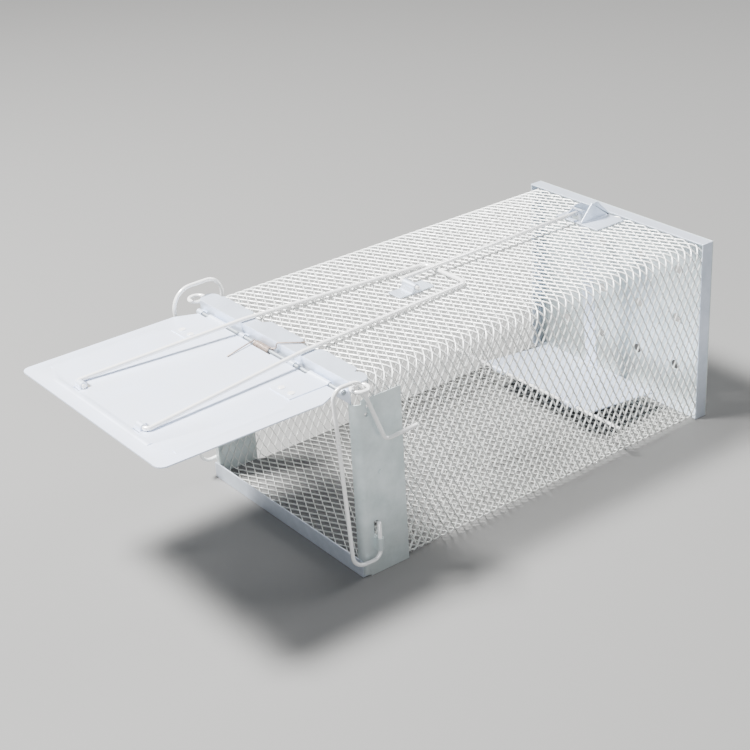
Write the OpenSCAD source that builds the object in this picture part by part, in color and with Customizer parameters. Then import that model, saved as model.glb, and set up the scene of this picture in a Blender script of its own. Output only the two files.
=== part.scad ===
// Live catch trap: an expanded-metal cage with a sheet-metal door hinged at the top of its mouth.
// The door is held open by a wire bail, a trigger rod and the upright hook of a treadle.
// Millimetres. X to the right, Y from the mouth to the rear wall, Z up.
// The origin is the centre of the cage's floor, on the ground.

/* [Cage] */
// Length of the cage, mouth to rear wall
cage_len = 270; // [225:1:330]
// Width of the cage over its side plates
cage_w = 150; // [125:1:190]
// Height of the cage
cage_h = 118; // [98:1:145]
// Thickness of the pressed sheet parts
sheet_t = 0.8; // [0.6:0.05:1.2]
// Thickness of the expanded sheet, over its raised strands
mesh_t = 1.6; // [1.2:0.1:2.2]
// Outer radius of the sheet's bends along the top edges
mesh_bend_r = 9; // [7:0.5:12]
// Short pitch of the grid's diamonds, along the cage
cell_short = 10.8; // [9:0.1:14]
// Long pitch of the grid's diamonds, around the cage
cell_long = 21.6; // [18:0.1:28]
// Width of the grid's strands
strand_w = 2.4; // [1.6:0.1:3]

/* [Front frame] */
// Depth of the side plates, back from the mouth
plate_depth = 30; // [24:1:36]
// Width of the side plates' front flanges
flange_w = 6; // [4:0.5:8]
// Height of the side plates
plate_h = 107; // [88:1:110]
// Height of the top rail's front flange
rail_drop = 13; // [11:0.5:16]
// Depth of the top rail's flange on the roof
rail_depth = 13; // [11.5:0.5:18]
// Height of the front sill
sill_h = 10; // [7:0.5:14]
// Diameter of the wire in the rail, with an eye at each end
eye_wire_d = 2.2; // [1.8:0.1:2.6]
// Mean radius of the eyes
eye_r = 4.6; // [4.2:0.1:5.5]

/* [Door] */
// Width of the door
door_w = 144.6; // [119:0.1:184]
// Door's reach from the hinge axis to its free edge
door_reach = 111.2; // [92:0.1:134]
// Height of the hinge axis below the roof
hinge_drop = 6; // [5:0.25:8]
// Diameter of the hinge pin
pin_d = 2.3; // [1.9:0.1:2.5]
// Thickness of the hinge leaves
leaf_t = 0.6; // [0.5:0.05:0.8]
// Width of each hinge leaf
leaf_w = 18; // [14:1:22]
// Length of each hinge leaf from the hinge axis
leaf_len = 25.6; // [23:0.1:30]
// Distance of each leaf's middle from the door's middle
leaf_x = 48.6; // [42:0.1:50]
// Distance of the bail's loops from the hinge axis
loop_reach = 96.6; // [80:0.1:104]
// Half the spacing of the bail's legs at the loops
loop_x = 36.4; // [32:0.1:40]

/* [Wires] */
// Diameter of the bail's wire
bail_d = 2.5; // [2:0.1:2.8]
// Distance of the bail's crossbar behind the mouth
bail_back = 124; // [100:1:150]
// Half the length of the bail's crossbar
bail_x = 18.6; // [15:0.1:24]
// Diameter of the trigger rod
rod_d = 2.5; // [2:0.1:2.8]
// Distance of the rod's axle behind the mouth
rod_axle_back = 96; // [78:1:102]
// Diameter of the side lock wires
lock_d = 2.3; // [1.9:0.1:2.6]
// Distance of the lock wires' pivot outside the side plates
lock_out = 2.6; // [2.4:0.1:3.2]
// Distance of the lock wires' pivot behind the mouth
lock_back = 9; // [8:0.5:11]
// Diameter of the door spring's wire
spring_d = 0.9; // [0.6:0.05:1]

/* [Treadle] */
// Width of the treadle pan
pan_w = 96; // [80:1:116]
// Length of the treadle pan, back from its axle
pan_len = 58; // [48:1:66]
// Slope of the set pan, in degrees down towards the rear
pan_slope = 6.4; // [4:0.1:8]
// Height of the treadle's axle
axle_z = 19; // [16:0.5:23]
// Distance of the treadle's axle in front of the rear wall
axle_front = 76.5; // [66:0.5:84]
// Diameter of the treadle's axle
axle_d = 2; // [1.6:0.1:2.4]
// Width of the treadle's upright arm
arm_w = 10; // [8:0.5:11]
// Distance of the arm and the rod to the left of the middle
trigger_x = 7.5; // [6:0.5:9]

/* [Rear wall] */
// Depth of the band around the rear wall
band_depth = 8.2; // [6:0.1:11]
// Diameter of the air holes
vent_d = 6; // [4:0.5:8]
// Number of air holes across
vent_cols = 4; // [2:1:5]
// Number of air holes up
vent_rows = 3; // [2:1:4]

/* [Fits] */
// Radial clearance of the turning fits
run_gap = 0.06; // [0.03:0.01:0.1]
// Clearance between parts that rest close to each other
rest_gap = 0.1; // [0.05:0.01:0.2]

/* [Hidden] */
$fn = 48;

// Overall places
half_w = cage_w / 2;
front_y = -cage_len / 2;
rear_y = cage_len / 2;
roof_z = cage_h - sheet_t;
mesh_x = half_w - sheet_t;
mesh_front = front_y + 4;
mesh_rear = rear_y - sheet_t;
bend_x = mesh_x - mesh_bend_r;
bend_z = roof_z - mesh_bend_r;
plate_bend_r = 4;
seam_w = 6;
frame_gap = 0.1;
bend_step = 24;
joint_swell = 1.03;
ball_inset = 0.11;

// Hinge. The spring's coil turns clear of the pin inside it and of the rail behind it.
coil_gap = 0.3;
rail_gap = 0.05;
coil_r = pin_d / 2 + spring_d / 2 + coil_gap;
hinge_out = coil_r + spring_d / 2 + rail_gap;
pin_y = front_y - hinge_out;
pin_z = cage_h - hinge_drop;
pin_half = half_w - 5;
knuckle_r = pin_d / 2 + run_gap + leaf_t;
door_top = pin_z + sheet_t / 2;
door_rear = pin_y - knuckle_r - 0.35;
door_free = pin_y - door_reach;
leaf_free = pin_y - leaf_len;
rivet_y = leaf_free + 4.5;
rivet_x = 4.35;
rivet_r = 0.95;
coil_len = 14.4;
coil_x = -3.6;
leg_x = coil_x - coil_len / 2 - spring_d;

// Bail and trigger rod
loop_y = pin_y - loop_reach;
loop_z = door_top + bail_d / 2 + rest_gap;
loop_len = 5;
loop_in = 5.5;
loop_wall = 0.8;
loop_r = bail_d / 2 + run_gap + loop_wall;
lance_len = loop_len + 1.4;
lance_front = 4.4;
lance_rear = 2.4;
rail_wire_z = cage_h + bail_d / 2 + rest_gap;
bail_y = front_y + bail_back;
bail_z = roof_z + bail_d / 2 + rest_gap;
bail_rail_x = 28.2;
rod_y = front_y + rod_axle_back;
rod_at_bail = bail_z + bail_d / 2 + rod_d / 2 + rest_gap;
rod_z = rod_at_bail - 0.4;
rod_rise = 0.4 / (bail_y - rod_y);
saddle_w = 11;

// Treadle and catch
axle_y = rear_y - axle_front;
barrel_r = axle_d / 2 + run_gap + sheet_t;
arm_top_y = axle_y + pan_len * cos(pan_slope) - 8.2;
rod_end = arm_top_y - 4.6;
rod_end_z = rod_z + rod_rise * (rod_end - rod_y);
hook_z = rod_end_z + rod_d / 2;
window_w = arm_w + 3;
window_front = arm_top_y - 4;
window_rear = arm_top_y + 14;
ear_t = sheet_t;

// Side locks
lock_x = half_w + lock_out;
lock_y = front_y + lock_back;
eye_y = front_y + sheet_t + eye_wire_d / 2 + frame_gap;
eye_z = cage_h - sheet_t - eye_wire_d / 2 - frame_gap;
strap_z = 16;
strap_h = 7.5;
strap_r = lock_d / 2 + run_gap;

// ---------- shared shapes ----------

function unit(v) = v / norm(v);
function way(p, i) = unit(p[i + 1] - p[i]);

// Points along a corner at p rounded to radius r, from direction u to direction w
function corner(p, u, w, r) =
    let (
        a = acos(u * w),
        n = unit(w - u * (u * w)),
        o = p - u * r * tan(a / 2) + n * r,
        k = ceil(a / bend_step)
    )
    [for (i = [0 : k]) o - n * r * cos(a * i / k) + u * r * sin(a * i / k)];

function wire_points(p, bends) = [
    p[0],
    for (i = [1 : len(p) - 2]) each corner(p[i], way(p, i - 1), way(p, i), bends[i - 1]),
    p[len(p) - 1]
];

// A round bar between two points
module bar(a, b, d) {
    v = b - a;
    translate(a) rotate([0, acos(v[2] / norm(v)), atan2(v[1], v[0])]) cylinder(h = norm(v), d = d);
}

function carried(f, v) = f[0] * v[0] + f[1] * v[1] + f[2] * v[2];

// The straight lengths of a wire through points q, from the i-th on. Each is laid in the frame of the
// one before it, and f is that frame. They meet in balls a touch thicker, so that they join cleanly.
module lengths(q, d, i, f) {
    u = way(q, i);
    tilt = acos(max(-1, min(1, f[2] * u)));
    swing = atan2(f[1] * u, f[0] * u);
    reach = norm(q[i + 1] - q[i]);
    last = i == len(q) - 2;
    start = i == 0 ? 0 : d * ball_inset;
    end = last ? reach : reach - d * ball_inset;
    across = [cos(tilt) * cos(swing), cos(tilt) * sin(swing), -sin(tilt)];
    rotate([0, tilt, swing]) {
        translate([0, 0, start]) cylinder(h = end - start, d = d);
        if (!last) translate([0, 0, reach]) {
            sphere(d = d * joint_swell);
            lengths(q, d, i + 1, [carried(f, across), carried(f, [-sin(swing), cos(swing), 0]), u]);
        }
    }
}

// A wire through points p, rounded at each inner point to the radius given in bends
module bent_wire(p, bends, d) {
    translate(p[0]) lengths(wire_points(p, bends), d, 0, [[1, 0, 0], [0, 1, 0], [0, 0, 1]]);
}

// A cylinder along X, centred at x, y, z
module roller(x, y, z, len, d) {
    translate([x - len / 2, y, z]) rotate([0, 90, 0]) cylinder(h = len, d = d);
}

// A profile drawn in Y and Z, extruded along X from x0 over len
module along_x(x0, len) {
    translate([x0, 0, 0]) rotate([90, 0, 90]) linear_extrude(len) children();
}

// A flat diamond grid, long by wide, centred, with a solid border
module diamond_grid(long, wide, border, seam = 0) {
    a = (cell_short - strand_w * 1.12) / 2;
    b = (cell_long - strand_w * 2.24) / 2;
    cols = ceil(long / cell_short) + 1;
    rows = ceil(wide / cell_long) + 1;
    linear_extrude(mesh_t) difference() {
        square([long, wide], center = true);
        intersection() {
            difference() {
                square([long - 2 * border, wide - 2 * border], center = true);
                if (seam > 0) square([long, seam], center = true);
            }
            for (i = [-cols : cols], j = [-rows : rows])
                if ((i + j) % 2 == 0) translate([i * cell_short / 2, j * cell_long / 2])
                    polygon([[a, 0], [0, b], [-a, 0], [0, -b]]);
        }
    }
}

// ---------- cage ----------

mesh_len = mesh_rear - mesh_front;
mesh_mid = (mesh_rear + mesh_front) / 2;

module mesh_top() {
    color("gainsboro") difference() {
        translate([0, mesh_mid, roof_z - mesh_t]) rotate([0, 0, 90]) diamond_grid(mesh_len, 2 * bend_x, 2);
        translate([-trigger_x - window_w / 2, window_front, roof_z - mesh_t - 1])
            cube([window_w, window_rear - window_front, mesh_t + 2]);
    }
}

module mesh_floor() {
    floor_rear = rear_y - sheet_t - band_depth - frame_gap;
    color("gainsboro") translate([0, (mesh_front + floor_rear) / 2, 0]) rotate([0, 0, 90])
        diamond_grid(floor_rear - mesh_front, 2 * mesh_x, 3, seam_w);
}

module mesh_side(side) {
    tall = bend_z - mesh_t;
    difference() {
        translate([side * (mesh_x - mesh_t / 2) - mesh_t / 2, mesh_mid, mesh_t + tall / 2])
            rotate([90, 0, 90]) diamond_grid(mesh_len, tall, 2);
        roller(side * mesh_x, axle_y, axle_z, 6 * mesh_t, axle_d + 4 * run_gap);
    }
}

module mesh_left() {
    color("gainsboro") mesh_side(-1);
}

module mesh_right() {
    color("gainsboro") mesh_side(1);
}

module mesh_bend(side) {
    windows = floor((mesh_len - 8) / cell_short);
    mirror([side < 0 ? 1 : 0, 0, 0]) translate([bend_x, mesh_rear, bend_z]) rotate([90, 0, 0]) difference() {
        rotate_extrude(angle = 90) translate([mesh_bend_r - mesh_t, 0]) square([mesh_t, mesh_len]);
        for (i = [0 : windows - 1]) rotate([0, 0, 45]) translate([mesh_bend_r / 2, -4, 4 + i * cell_short])
            cube([mesh_bend_r, 8, cell_short - strand_w]);
    }
}

module mesh_bend_left() {
    color("gainsboro") mesh_bend(-1);
}

module mesh_bend_right() {
    color("gainsboro") mesh_bend(1);
}

module rail_lug(x, w) {
    translate([x - w / 2, pin_y, pin_z - 0.4]) cube([w, hinge_out, sheet_t]);
    roller(x, pin_y, pin_z, w, 2 * knuckle_r);
}

module top_rail() {
    lug_gap = 0.05;
    flange_half = half_w - 4;
    end_r = 6;
    lobe = 4;
    lobe_pitch = 0.32 * cage_w;
    color("lightsteelblue") difference() {
        union() {
            translate([-flange_half, front_y, cage_h - rail_drop]) cube([2 * flange_half, sheet_t, rail_drop]);
            translate([0, 0, roof_z]) linear_extrude(sheet_t) union() {
                translate([-half_w + end_r, front_y]) square([cage_w - 2 * end_r, rail_depth - lobe]);
                for (s = [-1, 1]) translate([s * (half_w - end_r), front_y + end_r]) circle(end_r);
                translate([-half_w, front_y + end_r]) square([cage_w, rail_depth - lobe - end_r]);
                for (x = [-1, 0, 1] * lobe_pitch) polygon([
                    [x - 21, front_y + rail_depth - lobe - 1], [x - 17, front_y + rail_depth],
                    [x + 13, front_y + rail_depth], [x + 17, front_y + rail_depth - lobe - 1]
                ]);
            }
            for (s = [-1, 1]) {
                rail_lug(s * (pin_half - 3), 5);
                rail_lug(s * 24, 5);
            }
        }
        roller(0, pin_y, pin_z, cage_w, pin_d + 2 * lug_gap);
    }
}

module rail_wire() {
    color("silver") {
        roller(0, eye_y, eye_z, 2 * (lock_x - eye_r), eye_wire_d);
        for (s = [-1, 1]) translate([s * lock_x, eye_y, eye_z])
            rotate_extrude() translate([eye_r, 0]) circle(d = eye_wire_d);
    }
}

module side_plate(side) {
    flange_top = cage_h - rail_drop - frame_gap;
    mirror([side < 0 ? 1 : 0, 0, 0]) difference() {
        union() {
            translate([half_w - sheet_t, front_y + plate_bend_r, 0])
                cube([sheet_t, plate_depth - plate_bend_r, plate_h]);
            translate([half_w - flange_w, front_y, sheet_t + frame_gap])
                cube([flange_w - plate_bend_r, sheet_t, flange_top - sheet_t - frame_gap]);
            translate([half_w - plate_bend_r, front_y + plate_bend_r, sheet_t + frame_gap]) rotate([0, 0, -90])
                rotate_extrude(angle = 90) translate([plate_bend_r - sheet_t, 0])
                    square([sheet_t, flange_top - sheet_t - frame_gap]);
            translate([lock_x, lock_y, strap_z]) cylinder(h = strap_h, r = strap_r + sheet_t);
            translate([half_w - sheet_t, lock_y - strap_r - sheet_t, strap_z])
                cube([lock_out + sheet_t, 2 * (strap_r + sheet_t), strap_h]);
        }
        translate([lock_x, lock_y, strap_z - 1]) cylinder(h = strap_h + 2, r = strap_r);
        // the slot that the strap is pressed from
        translate([half_w - 2 * sheet_t, lock_y - 1.5, strap_z + strap_h + 0.5]) cube([3 * sheet_t, 3, 9]);
        for (z = [plate_h - 4, plate_h - 9])
            roller(half_w, lock_y + 1.2 * (z - plate_h) / 5, z, 4 * sheet_t, 2.4);
    }
}

module side_plate_left() {
    color("lightgray") side_plate(-1);
}

module side_plate_right() {
    color("lightgray") side_plate(1);
}

module front_sill() {
    sill_half = half_w - 1.5;
    color("lightsteelblue") {
        translate([-sill_half, front_y - sheet_t, 0]) cube([2 * sill_half, sheet_t, sill_h]);
        translate([-sill_half, front_y - sheet_t, 0])
            cube([2 * sill_half, mesh_front - front_y + sheet_t - frame_gap, sheet_t]);
    }
}

module frame_clinches() {
    color("silver") for (s = [-1, 1], z = [0.52, 0.78])
        roller(s * (half_w + 0.25), lock_y + 5, cage_h * z, 0.5, 3);
}

module hinge_pin() {
    color("whitesmoke") roller(0, pin_y, pin_z, 2 * pin_half, pin_d);
}

module spring_coil() {
    pitch = spring_d * 1.1;
    turns = floor((coil_len - spring_d) / pitch);
    color("rosybrown") {
        for (i = [0 : turns]) translate([coil_x + (i - turns / 2) * pitch, pin_y, pin_z]) rotate([0, 90, 0])
            rotate_extrude() translate([coil_r, 0]) circle(d = spring_d);
        // the turns stand on a thin sleeve, which joins them
        difference() {
            roller(coil_x, pin_y, pin_z, turns * pitch, 2 * coil_r);
            roller(coil_x, pin_y, pin_z, coil_len + 2, 2 * coil_r - spring_d * 0.6);
        }
        translate([coil_x + turns * pitch / 2, pin_y, pin_z]) bent_wire([
            [0, 0, coil_r],
            [4, -hinge_out / 2, coil_r + 0.4],
            [6, 1, hinge_drop + spring_d / 2 + 0.35],
            [16, 13, hinge_drop + spring_d / 2 + 0.1]
        ], [1.2, 1.2], spring_d);
    }
}

module rod_saddle() {
    bore = rod_d / 2 + run_gap;
    color("gainsboro") difference() {
        union() {
            along_x(-3, saddle_w) polygon([
                [rod_y - 12, roof_z], [rod_y + 13, roof_z], [rod_y + 13, cage_h], [rod_y + 3.3, cage_h],
                [rod_y + 1.8, rod_z], [rod_y - 1.8, rod_z], [rod_y - 3.3, cage_h], [rod_y - 12, cage_h]
            ]);
            roller(saddle_w / 2 - 3, rod_y, rod_z, saddle_w, 2 * (bore + sheet_t));
        }
        roller(saddle_w / 2 - 3, rod_y, rod_z, saddle_w + 2, 2 * bore);
    }
}

module catch_ear(x, peak) {
    along_x(x, ear_t) polygon([
        [window_front - 5, roof_z], [window_front - 5, roof_z + 2], [arm_top_y, roof_z + peak],
        [arm_top_y + 5, roof_z + peak], [window_rear + 1, roof_z + 2], [window_rear + 1, roof_z]
    ]);
}

module catch_guide() {
    inner = window_w + 0.6;
    color("gainsboro") {
        translate([0, 0, roof_z]) linear_extrude(sheet_t) difference() {
            translate([-trigger_x - inner / 2 - 8, window_front - 5])
                square([inner + 22, window_rear - window_front + 6]);
            translate([-trigger_x - inner / 2, window_front - 2]) square([inner, window_rear - window_front + 2]);
        }
        catch_ear(-trigger_x + inner / 2, 12);
        catch_ear(-trigger_x - inner / 2 - ear_t, 7.5);
    }
}

module rear_wall() {
    color("lightgray") difference() {
        translate([-half_w, rear_y - sheet_t, 0]) cube([cage_w, sheet_t, cage_h]);
        for (i = [0 : vent_cols - 1], j = [0 : vent_rows - 1])
            translate([(i + 0.5) * (cage_w - 20) / vent_cols - half_w + 10, rear_y + 1,
                       (j + 0.5) * (cage_h - 20) / vent_rows + 10])
                rotate([90, 0, 0]) cylinder(h = 3 * sheet_t, d = vent_d);
    }
}

module rear_band() {
    band_y = rear_y - sheet_t - band_depth;
    color("lightsteelblue") difference() {
        translate([-half_w, band_y, 0]) cube([cage_w, band_depth, cage_h]);
        translate([-half_w + sheet_t, band_y - 1, sheet_t])
            cube([cage_w - 2 * sheet_t, band_depth + 2, cage_h - 2 * sheet_t]);
    }
}

module treadle_axle() {
    color("silver") roller(0, axle_y, axle_z, cage_w + 1, axle_d);
}

// ---------- door ----------

module bail_loop(side) {
    x = side * (loop_x - loop_in);
    translate([x - loop_len / 2, loop_y - loop_r, door_top]) cube([loop_len, 2 * loop_r, loop_z - door_top]);
    roller(x, loop_y, loop_z, loop_len, 2 * loop_r);
}

module door_plate() {
    half = door_w / 2;
    nose = 5;
    bead_r = 4;
    bead_in = 9;
    bead_z = door_top + 0.5 - bead_r;
    color("aliceblue") difference() {
        union() {
            translate([0, 0, pin_z - sheet_t / 2]) linear_extrude(sheet_t) difference() {
                union() {
                    polygon([
                        [-half, door_free + nose], [-half + nose, door_free], [half - nose, door_free],
                        [half, door_free + nose], [half, door_rear - 13], [half - 6, door_rear],
                        [-half + 6, door_rear], [-half, door_rear - 13]
                    ]);
                    for (s = [-1, 1]) translate([s * (half - nose), door_free + nose]) circle(nose);
                }
                for (s = [-1, 1], k = [-1, 1])
                    translate([s * leaf_x + k * rivet_x, rivet_y]) circle(rivet_r + 0.05);
                // what each loop is lanced from, before it and behind it
                for (s = [-1, 1]) translate([s * (loop_x - loop_in) - lance_len / 2, loop_y]) {
                    translate([0, -loop_r - 0.3 - lance_front]) square([lance_len, lance_front]);
                    translate([0, loop_r + 0.3]) square([lance_len, lance_rear]);
                }
                translate([coil_x - coil_len / 2 - 2, door_rear - 0.8]) square([coil_len + 5, 2]);
            }
            for (s = [-1, 1]) {
                bail_loop(s);
                bar([s * (half - bead_in), door_free + 14, bead_z], [s * (half - bead_in), door_rear - 30, bead_z],
                    2 * bead_r);
            }
            bar([-half + 24, door_free + bead_in, bead_z], [half - 24, door_free + bead_in, bead_z], 2 * bead_r);
        }
        for (s = [-1, 1]) roller(s * (loop_x - loop_in), loop_y, loop_z, 2 * loop_len, bail_d + 2 * run_gap);
        translate([-half, door_free, pin_z - sheet_t / 2 - 2 * bead_r]) cube([door_w, door_reach, 2 * bead_r]);
    }
}

module hinge_leaf(side) {
    x = side * leaf_x;
    difference() {
        union() {
            translate([x - leaf_w / 2, leaf_free, door_top]) cube([leaf_w, leaf_len - 0.8, leaf_t]);
            roller(x, pin_y, pin_z, leaf_w, 2 * knuckle_r);
        }
        roller(x, pin_y, pin_z, leaf_w + 2, pin_d + 2 * run_gap);
        for (k = [-1, 1]) translate([x + k * rivet_x, rivet_y, door_top - 1]) cylinder(h = 3, r = rivet_r + 0.05);
    }
}

module hinge_leaf_left() {
    color("lightsteelblue") hinge_leaf(-1);
}

module hinge_leaf_right() {
    color("lightsteelblue") hinge_leaf(1);
}

module leaf_rivets() {
    head_r = 2;
    head_h = 0.45;
    low = door_top - sheet_t - head_h;
    color("silver") for (s = [-1, 1], k = [-1, 1]) translate([s * leaf_x + k * rivet_x, rivet_y, low]) {
        cylinder(h = head_h, r = head_r);
        cylinder(h = sheet_t + leaf_t + 2 * head_h, r = rivet_r);
        translate([0, 0, head_h + sheet_t + leaf_t]) cylinder(h = head_h, r = head_r);
    }
}

module spring_leg() {
    color("rosybrown") bent_wire([
        [leg_x, pin_y, pin_z + coil_r],
        [leg_x + 0.4, pin_y - 3, pin_z + coil_r - 0.2],
        [leg_x + 5, pin_y - 21.6, door_top + spring_d / 2 + rest_gap]
    ], [2], spring_d);
}

// ---------- wires that move ----------

module bail() {
    ends = loop_x - loop_in - loop_len / 2 - 1.2;
    half_path = [
        [ends, loop_y, loop_z],
        [loop_x, loop_y, loop_z],
        [bail_rail_x, front_y + 2, rail_wire_z],
        [bail_x, bail_y, bail_z]
    ];
    other = [for (i = [3 : -1 : 0]) [-half_path[i][0], half_path[i][1], half_path[i][2]]];
    color("whitesmoke") bent_wire(concat(half_path, other), [2.6, 20, 5, 5, 20, 2.6], bail_d);
}

module trigger_rod() {
    color("whitesmoke") bent_wire([
        [saddle_w - 1.2, rod_y, rod_z],
        [-trigger_x, rod_y, rod_z],
        [-trigger_x, rod_end, rod_end_z]
    ], [3.6], rod_d);
}

// The side lock, drawn for the right side; crown is its height above the roof, back its rear shoulder
module lock_wire(crown, back, front_r, back_r) {
    top = cage_h + crown;
    finger_z = 81;
    bottom = 10.4;
    translate([lock_x, lock_y, 0]) bent_wire([
        [6.4, 24, finger_z + 5.2],
        [0.6, 7, finger_z],
        [0, back, top],
        [-0.8, -lock_back - 14.7, top],
        [-1.2, -lock_back - 8.3, bottom],
        [0, 0, bottom + 0.5],
        [0, 0, 33]
    ], [3, back_r, front_r, 8, 5], lock_d);
}

module lock_wire_left() {
    color("whitesmoke") mirror([1, 0, 0]) lock_wire(7.6, 11, 12, 10);
}

module lock_wire_right() {
    color("whitesmoke") lock_wire(2.3, -7.4, 6, 5);
}

// ---------- treadle ----------

// A point in Y and Z, u along the set pan from its axle and h above its middle
function on_pan(u, h) = [
    axle_y + u * cos(pan_slope) + h * sin(pan_slope),
    axle_z - u * sin(pan_slope) + h * cos(pan_slope)
];

module pan_rivet_holes() {
    translate([0, axle_y, axle_z]) rotate([-pan_slope, 0, 0]) for (k = [-1, 1])
        translate([-trigger_x + k * arm_w / 4, pan_len - 5, -4]) cylinder(h = 6, r = rivet_r + 0.05);
}

module treadle_pan() {
    barrel_len = 12;
    back = barrel_r + 0.3;
    color("aliceblue") difference() {
        translate([0, axle_y, axle_z]) rotate([-pan_slope, 0, 0]) difference() {
            union() {
                translate([-pan_w / 2, back, -sheet_t / 2]) cube([pan_w, pan_len - back, sheet_t]);
                for (s = [-1, 1]) {
                    roller(s * pan_w / 3, 0, 0, barrel_len, 2 * barrel_r);
                    translate([s * pan_w / 3 - barrel_len / 2, 0, -sheet_t / 2])
                        cube([barrel_len, barrel_r + 1, sheet_t]);
                }
            }
            roller(0, 0, 0, pan_w, axle_d + 2 * run_gap);
        }
        pan_rivet_holes();
    }
}

module treadle_arm() {
    t = sheet_t;
    heel = pan_len + 0.3;
    lean = 0.48;
    root = hook_z + rest_gap - lean * (arm_top_y - rod_end);
    tip_y = rod_end - 1.8;
    tip_z = root + lean * (arm_top_y - tip_y);
    color("gainsboro") difference() {
        along_x(-trigger_x - arm_w / 2, arm_w) polygon([
            on_pan(pan_len - 10, -t / 2), on_pan(pan_len - 10, -1.5 * t), on_pan(heel + t, -1.5 * t),
            [arm_top_y + t, root + 0.5 * t], [tip_y, tip_z + 1.2 * t], [tip_y, tip_z],
            [arm_top_y, root], on_pan(heel, -t / 2)
        ]);
        pan_rivet_holes();
    }
}

module treadle_rivets() {
    head_h = 0.5;
    color("silver") translate([0, axle_y, axle_z]) rotate([-pan_slope, 0, 0]) for (k = [-1, 1])
        translate([-trigger_x + k * arm_w / 4, pan_len - 5, -1.5 * sheet_t - head_h]) {
            cylinder(h = head_h, r = 1.8);
            cylinder(h = 2 * sheet_t + 2 * head_h, r = rivet_r);
            translate([0, 0, head_h + 2 * sheet_t]) cylinder(h = head_h, r = 1.8);
        }
}

mesh_top();
mesh_floor();
mesh_left();
mesh_right();
mesh_bend_left();
mesh_bend_right();
top_rail();
rail_wire();
side_plate_left();
side_plate_right();
front_sill();
frame_clinches();
hinge_pin();
spring_coil();
rod_saddle();
catch_guide();
rear_wall();
rear_band();
treadle_axle();
door_plate();
hinge_leaf_left();
hinge_leaf_right();
leaf_rivets();
spring_leg();
bail();
trigger_rod();
treadle_pan();
treadle_arm();
treadle_rivets();
lock_wire_left();
lock_wire_right();
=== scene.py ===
"""The looks of a live catch trap: expanded-sheet cage, sprung door, trigger wires, treadle and lock wires.

Lengths in the classes are millimetres, as on a maker's drawing, and become metres where a mesh is made.
"""

import logging
import math
from dataclasses import dataclass, field
from enum import Enum
from typing import Iterable, Sequence

import bmesh
import bpy
from mathutils import Matrix, Vector


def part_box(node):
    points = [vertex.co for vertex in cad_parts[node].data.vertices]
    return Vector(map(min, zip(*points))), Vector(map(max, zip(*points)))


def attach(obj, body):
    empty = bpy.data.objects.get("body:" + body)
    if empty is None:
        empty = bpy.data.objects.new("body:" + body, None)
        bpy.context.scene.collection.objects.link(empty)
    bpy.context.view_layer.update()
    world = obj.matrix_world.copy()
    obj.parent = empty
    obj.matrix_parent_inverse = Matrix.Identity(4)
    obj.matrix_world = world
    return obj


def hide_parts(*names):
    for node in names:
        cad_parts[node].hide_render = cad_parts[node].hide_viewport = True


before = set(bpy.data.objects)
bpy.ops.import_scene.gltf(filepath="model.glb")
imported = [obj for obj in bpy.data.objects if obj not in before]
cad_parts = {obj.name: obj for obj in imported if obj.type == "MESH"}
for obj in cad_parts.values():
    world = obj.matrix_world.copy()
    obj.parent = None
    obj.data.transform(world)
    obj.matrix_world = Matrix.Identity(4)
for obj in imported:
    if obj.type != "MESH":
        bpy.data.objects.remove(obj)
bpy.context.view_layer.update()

LOG = logging.getLogger("live_catch_trap")
MM = 0.001

Point = Sequence[float]


class Slot(Enum):
    """The record's material slots."""

    SHEET = "zinc_sheet"
    MESH = "expanded_sheet"
    WIRE = "bright_wire"
    SPRING = "spring_steel"


class Body(Enum):
    """The bodies that the pieces move with."""

    CAGE = "cage"
    DOOR = "door"
    BAIL = "bail"
    ROD = "rod"
    TREADLE = "treadle"
    LOCK_LEFT = "lock_left"
    LOCK_RIGHT = "lock_right"


# ---------------------------------------------------------------- node trees


class NodeMaker:
    """Adds nodes to a tree in a line or two each."""

    def __init__(self, tree: bpy.types.NodeTree) -> None:
        """Keeps the tree that the nodes go into."""
        self.tree = tree

    def add(self, kind: str, **inputs: object) -> bpy.types.Node:
        """Adds a node.

        Args:
            kind: the node's type name.
            **inputs: values or sockets by input name, with _ for a space.

        Returns:
            The new node.
        """
        node = self.tree.nodes.new(kind)
        for name, value in inputs.items():
            self.feed(node.inputs[name.replace("_", " ")], value)
        return node

    def feed(self, socket: bpy.types.NodeSocket, value: object) -> None:
        """Links a socket into this one, or sets it to a constant."""
        if isinstance(value, bpy.types.NodeSocket):
            self.tree.links.new(value, socket)
        else:
            socket.default_value = value

    def math(self, operation: str, *values: object) -> bpy.types.NodeSocket:
        """Adds a Math node.

        Args:
            operation: the Math node's operation.
            *values: its inputs, in order.

        Returns:
            Its output.
        """
        node = self.tree.nodes.new("ShaderNodeMath")
        node.operation = operation
        for socket, value in zip(node.inputs, values):
            self.feed(socket, value)
        return node.outputs[0]

    def between(self, value: object, low: object, high: object) -> bpy.types.NodeSocket:
        """The value kept between low and high."""
        return self.math("MINIMUM", self.math("MAXIMUM", value, low), high)


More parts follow.
